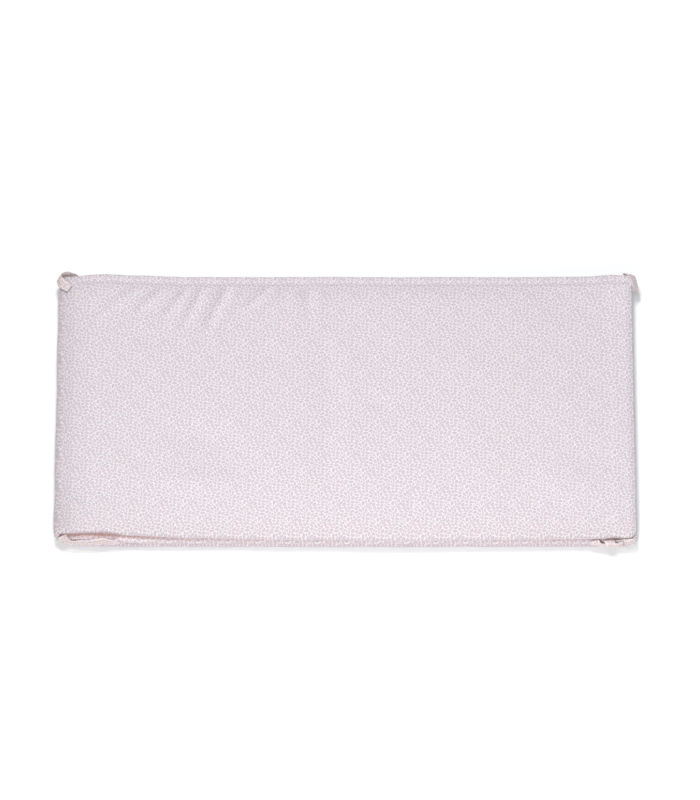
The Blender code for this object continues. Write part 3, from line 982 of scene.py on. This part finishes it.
# leaves and berries of one repeat, nudged until they lie side by side: x, y, turn, half sizes
def layOutMarks(plan):
    draw = np.random.default_rng(plan["seed"])
    count = plan["leaves"] + plan["berries"]
    size = draw.uniform(*plan["sizes"], count)
    marks = np.column_stack([
        draw.uniform(0, plan["across"], count),
        draw.uniform(0, plan["rise"], count),
        draw.uniform(0, math.pi, count),
        plan["halfLength"] * size,
        plan["halfWidth"] * size * draw.uniform(*plan["plumpness"], count),
    ])
    marks[plan["leaves"]:, 3:] = plan["berry"]
    for turn in range(plan["rounds"]):
        reach = plan["firstNudge"] * (1 - turn / plan["rounds"]) + plan["lastNudge"]
        for i in range(count):
            others = np.delete(marks, i, 0)
            trial = marks[i].copy()
            trial[:3] += draw.normal(0, 1, 3) * (reach, reach, reach * 0.6)
            if crowding(plan, trial, others) < crowding(plan, marks[i], others):
                marks[i] = trial
    return marks


def makeRepeatCell(plan):
    group, taken, given = newGroup(
        "repeatCell",
        [("Place", "NodeSocketVector", None), ("Centre", "NodeSocketVector", None)],
        [("Place", "NodeSocketVector")],
    )
    moved = vectors(group, "SUBTRACT", taken.outputs["Place"], taken.outputs["Centre"])
    parts = addNode(group, "ShaderNodeSeparateXYZ")
    feed(group, parts.inputs[0], moved)
    row = sums(group, "ROUND", sums(group, "DIVIDE", parts.outputs[1], plan["rise"]))
    y = sums(group, "SUBTRACT", parts.outputs[1], sums(group, "MULTIPLY", row, plan["rise"]))
    x = sums(group, "SUBTRACT", parts.outputs[0], sums(group, "MULTIPLY", row, plan["across"] / 2))
    column = sums(group, "ROUND", sums(group, "DIVIDE", x, plan["across"]))
    x = sums(group, "SUBTRACT", x, sums(group, "MULTIPLY", column, plan["across"]))
    joined = addNode(group, "ShaderNodeCombineXYZ")
    feed(group, joined.inputs[0], x)
    feed(group, joined.inputs[1], y)
    feed(group, given.inputs["Place"], joined.outputs[0])
    return group


def makeMark(kind):  # 1 in the middle of a mark, 0 at its outline
    takes, gives = [("Place", "NodeSocketVector", None)], [("Mark", "NodeSocketFloat")]
    group, taken, given = newGroup(kind + "Mark", takes, gives)
    if kind == "berry":
        mark = sums(group, "SUBTRACT", 1.0, vectors(group, "LENGTH", taken.outputs["Place"]))
    else:
        parts = addNode(group, "ShaderNodeSeparateXYZ")
        feed(group, parts.inputs[0], taken.outputs["Place"])
        square = sums(group, "MULTIPLY", parts.outputs[0], parts.outputs[0])
        bulge = sums(group, "SUBTRACT", 1.0, square)
        mark = sums(group, "SUBTRACT", bulge, sums(group, "ABSOLUTE", parts.outputs[1]))
    feed(group, given.inputs["Mark"], mark)
    return group


def makeLeafPrint(plan):
    colour = "NodeSocketColor"
    takes = [("Place", "NodeSocketVector", None)]
    for key in ("ground", "mauve", "pink", "tan"):
        takes.append((key.capitalize(), colour, (*plan[key], 1.0)))
    group, taken, given = newGroup("leafPrint", takes, [("Color", colour)])
    repeatCell, leafMark, berryMark = makeRepeatCell(plan), makeMark("leaf"), makeMark("berry")
    place = vectors(group, "MULTIPLY", taken.outputs["Place"], (1 / mm, 1 / mm, 1 / mm))
    across, rise = plan["across"], plan["rise"]
    centres = [(across * k / 4, rise / 2 * (k % 2)) for k in (0, 2, 1, 3)]
    cells = []
    for x, y in centres:
        cells.append(useGroup(group, repeatCell, Place=place, Centre=(x, y, 0.0)).outputs[0])
    tones = {}
    for i, (x, y, turn, halfLong, halfWide) in enumerate(layOutMarks(plan)):
        local = [wrapToCell(plan, x - cx, y - cy) for cx, cy in centres]
        best = min(range(4), key=lambda k: max(abs(local[k][0]) / across, abs(local[k][1]) / rise))
        mapped = addNode(group, "ShaderNodeMapping", vector_type="TEXTURE")
        feed(group, mapped.inputs["Vector"], cells[best])
        mapped.inputs["Location"].default_value = (*local[best], 0.0)
        mapped.inputs["Rotation"].default_value = (0.0, 0.0, turn)
        mapped.inputs["Scale"].default_value = (halfLong, halfWide, 1.0)
        isBerry = i >= plan["leaves"]
        mark = useGroup(group, berryMark if isBerry else leafMark, Place=mapped.outputs[0]).outputs[0]
        tone = 2 if isBerry else i % 2
        tones[tone] = mark if tone not in tones else sums(group, "MAXIMUM", tones[tone], mark)
    painted = taken.outputs["Ground"]
    for tone, key in enumerate(("Mauve", "Pink", "Tan")):
        body = spread(group, tones[tone], 0.0, plan["edge"])
        paler = 0.0 if tone == 2 else plan["rib"]
        rib = spread(group, tones[tone], plan["ribFrom"], plan["ribTo"], 0.0, paler)
        painted = blendColours(group, body, painted, taken.outputs[key])
        painted = blendColours(group, rib, painted, taken.outputs["Ground"])
    feed(group, given.inputs["Color"], painted)
    return group


clothFinish = {
    "threads": 2.2,         # pairs of threads to the millimetre
    "slubScale": 0.9,
    "lintScale": 0.35,
    "worn": (0.965, 1.03),  # darkest and palest of the lint
    "shaded": 0.87,         # of the light where shade is 1
    "roughness": (0.88, 0.96),
    "sheen": 0.22,
    "sheenRoughness": 0.5,
    "specular": 0.25,
    "bumpStrength": 0.22,
    "bumpDistance": 0.00012,
    # warm tint of the painted shade between the layers
    "warm": (1.0, 0.72, 0.63, 1.0),
    "cool": (1.0, 1.0, 1.0, 1.0),
    "cream": (0.75, 0.70, 0.69, 1.0),
    "dark": (0.0, 0.0, 0.0, 1.0),
    "glow": (0.075, 0.050, 0.045, 1.0),     # painted glow, standing in for light let through and bounced between the thin cotton layers
}


# fine plain weave and lint, from the cloth's own flat place in metres
def makeWeave():
    group, taken, given = newGroup(
        "clothWeave",
        [("Place", "NodeSocketVector", None), ("Threads", "NodeSocketFloat", clothFinish["threads"])],
        [("Height", "NodeSocketFloat"), ("Lint", "NodeSocketFloat")],
    )
    scaled = vectors(group, "MULTIPLY", taken.outputs["Place"], (1 / mm, 1 / mm, 1 / mm))
    noise = addNode(group, "ShaderNodeTexNoise", noise_dimensions="2D")
    feed(group, noise.inputs["Vector"], scaled)
    noise.inputs["Scale"].default_value = clothFinish["slubScale"]
    noise.inputs["Detail"].default_value = 3.0
    parts = addNode(group, "ShaderNodeSeparateXYZ")
    feed(group, parts.inputs[0], scaled)
    heights = []
    for k in (0, 1):
        turns = sums(group, "MULTIPLY", parts.outputs[k], taken.outputs["Threads"])
        wobble = sums(group, "MULTIPLY_ADD", noise.outputs[0], 0.6, turns)
        wave = sums(group, "SINE", sums(group, "MULTIPLY", wobble, 2 * math.pi))
        heights.append(wave)
    woven = sums(group, "MULTIPLY", heights[0], heights[1])
    feed(group, given.inputs["Height"], sums(group, "MULTIPLY_ADD", noise.outputs[0], 0.8, woven))
    fuzz = addNode(group, "ShaderNodeTexNoise", noise_dimensions="2D")
    feed(group, fuzz.inputs["Vector"], scaled)
    fuzz.inputs["Scale"].default_value = clothFinish["lintScale"]
    fuzz.inputs["Detail"].default_value = 4.0
    feed(group, given.inputs["Lint"], fuzz.outputs[0])
    return group


leafPrint, clothWeave = makeLeafPrint(leafDesign), makeWeave()


def newMaterial(name):
    material = bpy.data.materials.new(name)
    material.use_nodes = True
    return material, material.node_tree, material.node_tree.nodes["Principled BSDF"]


def addBump(tree, shader, height, finish):
    bump = addNode(tree, "ShaderNodeBump")
    bump.inputs["Strength"].default_value = finish["bumpStrength"]
    bump.inputs["Distance"].default_value = finish["bumpDistance"]
    feed(tree, bump.inputs["Height"], height)
    feed(tree, shader.inputs["Normal"], bump.outputs[0])


def makeCloth(name, washed):
    material, tree, shader = newMaterial(name)
    place = addNode(tree, "ShaderNodeUVMap", uv_map="clothMap").outputs[0]
    printed = useGroup(tree, leafPrint, Place=place)
    woven = useGroup(tree, clothWeave, Place=place)
    lint = woven.outputs["Lint"]
    amount = addNode(tree, "ShaderNodeAttribute", attribute_name="warmth").outputs["Fac"]
    shade = addNode(tree, "ShaderNodeAttribute", attribute_name="shade").outputs["Fac"]
    # painted warm shade and painted glow, both set by the amount read above
    tint = blendColours(tree, amount, clothFinish["cool"], clothFinish["warm"])
    glow = blendColours(tree, amount, clothFinish["dark"], clothFinish["glow"])
    colour = blendColours(tree, washed, printed.outputs["Color"], clothFinish["cream"])
    colour = blendColours(tree, 1.0, colour, tint, "MULTIPLY")
    # painted shade and painted highlight from the shade amount, times the lint's random tone
    shaded = spread(tree, shade, -1.0, 1.0, 2.0 - clothFinish["shaded"], clothFinish["shaded"])
    worn = sums(tree, "MULTIPLY", spread(tree, lint, 0.3, 0.7, *clothFinish["worn"]), shaded)
    grey = addNode(tree, "ShaderNodeCombineColor")
    for socket in grey.inputs[:3]:
        feed(tree, socket, worn)
    colour = blendColours(tree, 1.0, colour, grey.outputs[0], "MULTIPLY")
    feed(tree, shader.inputs["Base Color"], colour)
    feed(tree, shader.inputs["Emission Color"], glow)
    shader.inputs["Emission Strength"].default_value = 1.0
    feed(tree, shader.inputs["Roughness"], spread(tree, lint, 0.2, 0.8, *clothFinish["roughness"]))
    shader.inputs["Sheen Weight"].default_value = clothFinish["sheen"]
    shader.inputs["Sheen Roughness"].default_value = clothFinish["sheenRoughness"]
    shader.inputs["Specular IOR Level"].default_value = clothFinish["specular"]
    addBump(tree, shader, woven.outputs["Height"], clothFinish)
    return material


threadFinish = {
    "dark": (0.74, 0.70, 0.74, 1.0),
    "pale": (0.86, 0.83, 0.86, 1.0),
    "twistScale": 900.0,
    "roughness": 0.7,
    "bumpStrength": 0.3,
    "bumpDistance": 0.00005,
}


def makeThread(name):
    material, tree, shader = newMaterial(name)
    place = addNode(tree, "ShaderNodeTexCoord").outputs["Object"]
    twist = addNode(tree, "ShaderNodeTexWave", wave_type="BANDS", bands_direction="DIAGONAL")
    feed(tree, twist.inputs["Vector"], place)
    twist.inputs["Scale"].default_value = threadFinish["twistScale"]
    twist.inputs["Distortion"].default_value = 1.0
    colour = blendColours(tree, twist.outputs["Fac"], threadFinish["dark"], threadFinish["pale"])
    feed(tree, shader.inputs["Base Color"], colour)
    shader.inputs["Roughness"].default_value = threadFinish["roughness"]
    addBump(tree, shader, twist.outputs["Fac"], threadFinish)
    return material


def dress(piece, material):
    piece.data.materials.clear()
    piece.data.materials.append(material)


tieCloth = makeCloth("tieCotton", washed=0.28)
dress(bumperStrip, makeCloth("printedCotton", washed=0.0))
dress(topStitches, makeThread("sewingThread"))
for piece, length in ties.values():
    dress(piece, tieCloth)
print("materials made")


# floor and light

studio = {
    "floorSize": 8.0,
    "floorColour": (0.965, 0.99, 1.0, 1.0),
    "floorGlow": 0.045,
    "sky": 0.335,
    "above": {"place": (-0.20, 0.42, 2.6), "size": 0.8, "power": 45.4, "colour": (1.0, 1.0, 1.0)},
    "front": {"place": (0.06, -0.84, 0.60), "size": 0.7, "power": 5.7, "colour": (1.0, 0.99, 0.975)},
}


def addFloor():
    deselectAll()
    bpy.ops.mesh.primitive_grid_add(x_subdivisions=2, y_subdivisions=2, size=studio["floorSize"])
    floor = bpy.context.object
    floor.name = "floor"
    material, tree, shader = newMaterial("paleFloor")
    shader.inputs["Base Color"].default_value = studio["floorColour"]
    shader.inputs["Emission Color"].default_value = (1.0, 1.0, 1.0, 1.0)
    shader.inputs["Emission Strength"].default_value = studio["floorGlow"]
    shader.inputs["Roughness"].default_value = 1.0
    shader.inputs["Specular IOR Level"].default_value = 0.0
    dress(floor, material)


def addSoftLight(name, plan):
    bpy.ops.object.light_add(type="AREA", location=plan["place"])
    lamp = bpy.context.object
    lamp.name = name
    lamp.rotation_euler = (-Vector(plan["place"])).to_track_quat("-Z", "Y").to_euler()
    lamp.data.shape = "DISK"
    lamp.data.size = plan["size"]
    lamp.data.energy = plan["power"]
    lamp.data.color = plan["colour"]


def addSky():
    world = bpy.data.worlds.new("studioSky")
    world.use_nodes = True
    background = world.node_tree.nodes["Background"]
    background.inputs["Color"].default_value = (1.0, 1.0, 1.0, 1.0)
    background.inputs["Strength"].default_value = studio["sky"]
    bpy.context.scene.world = world


addFloor()
addSoftLight("lightAbove", studio["above"])
addSoftLight("lightFront", studio["front"])
addSky()
bpy.context.scene.view_settings.view_transform = "Standard"
bpy.context.scene.view_settings.look = "None"
print("studio lit")


# what each piece is

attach(bumperStrip, "root")
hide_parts("padded_strip")
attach(topStitches, "root")
for node, (piece, length) in ties.items():
    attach(piece, "root")
    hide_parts(node)
